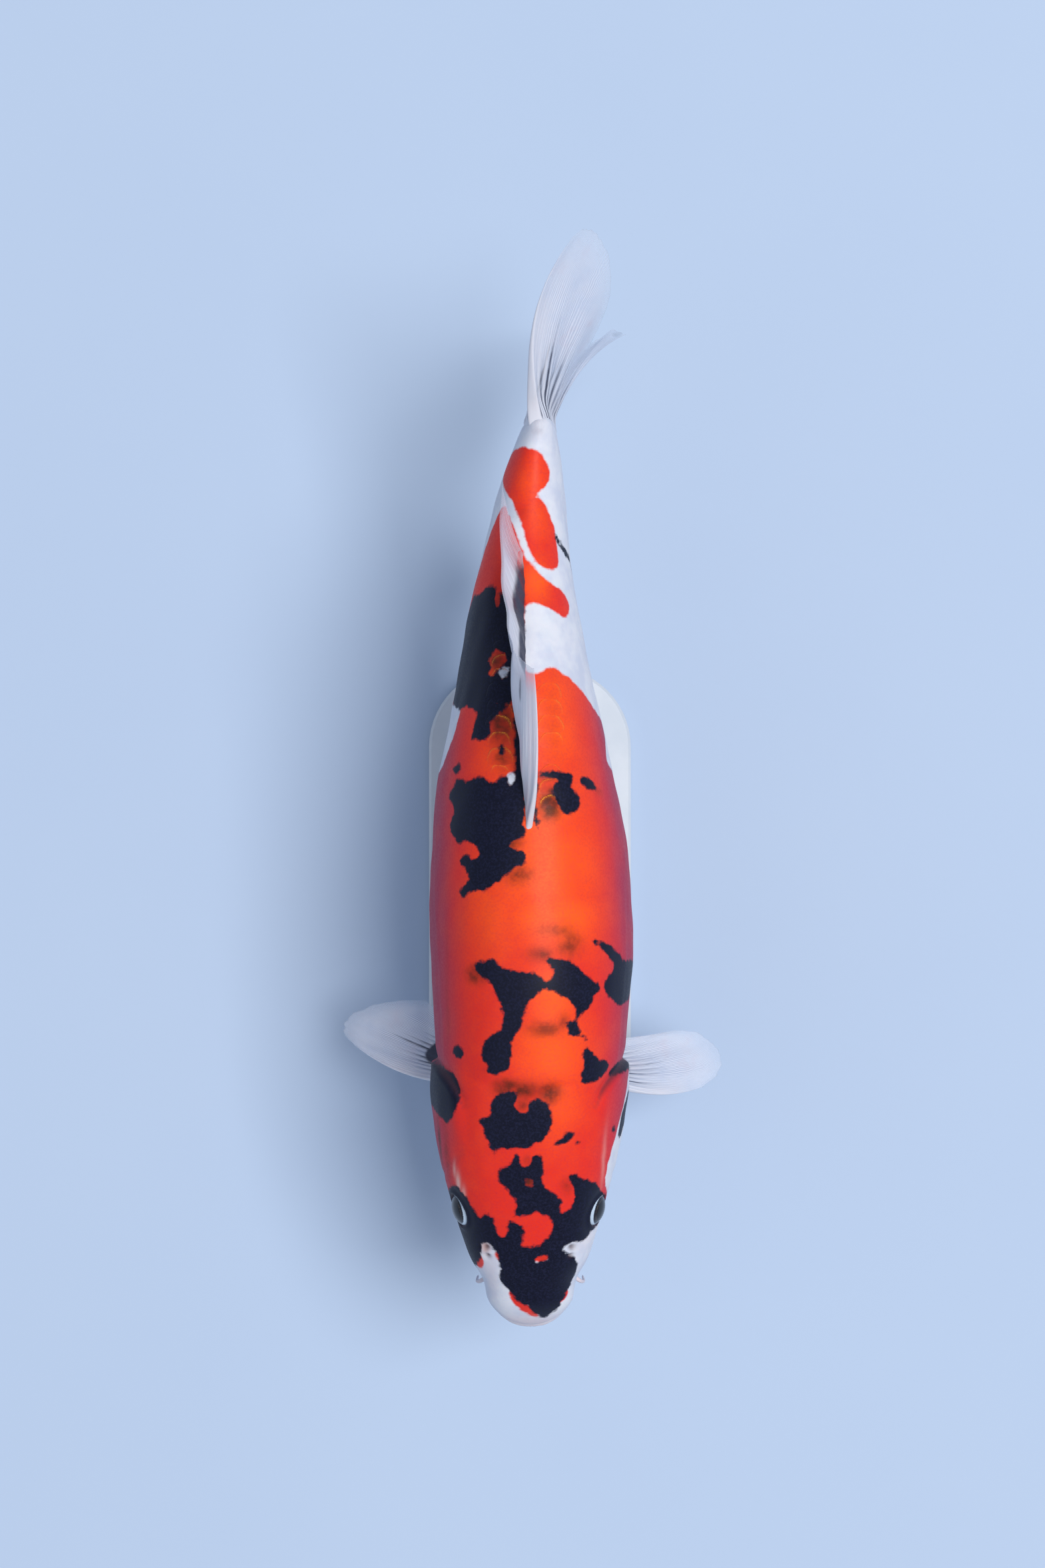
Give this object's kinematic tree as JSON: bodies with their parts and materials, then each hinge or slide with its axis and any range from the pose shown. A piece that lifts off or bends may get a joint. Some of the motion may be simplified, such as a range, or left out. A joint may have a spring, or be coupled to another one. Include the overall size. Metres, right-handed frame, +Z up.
{
  "type": "koi carp model",
  "caption": "Life-size red, black and white koi carp gliding level with its tail fin curved to one side, held over a flat display base by two slim steel rods",
  "frame": {"origin": "middle of the stand base's underside, under the fish's balance point", "axes": "+Z up; the fish's head points along -Y and its tail along +Y; its left side faces +X"},
  "size_m": [0.2192, 0.5847, 0.2635],
  "materials": {
    "red_skin": "satin",
    "white_skin": "satin",
    "fins": "satin",
    "eyes": "gloss",
    "stand_plate": "lacquered",
    "stand_metal": "brushed"
  },
  "bodies": {
    "root": {"head": "red_skin", "gill_cover_left": "red_skin", "gill_cover_right": "red_skin", "trunk": "red_skin", "tail_stalk": "white_skin", "upper_lip": "white_skin", "lower_lip": "white_skin", "barbel_front_left": "white_skin", "barbel_front_right": "white_skin", "barbel_rear_left": "white_skin", "barbel_rear_right": "white_skin", "eye_left": "eyes", "eye_right": "eyes", "dorsal_fin": "fins", "anal_fin": "fins", "tail_fin": "fins", "pectoral_fin_left": "fins", "pectoral_fin_right": "fins", "pelvic_fin_left": "fins", "pelvic_fin_right": "fins", "stand_base": "stand_plate", "stand_rod_front": "stand_metal", "stand_rod_rear": "stand_metal", "stand_collar_front": "stand_metal", "stand_collar_rear": "stand_metal"}
  },
  "joints": []
}
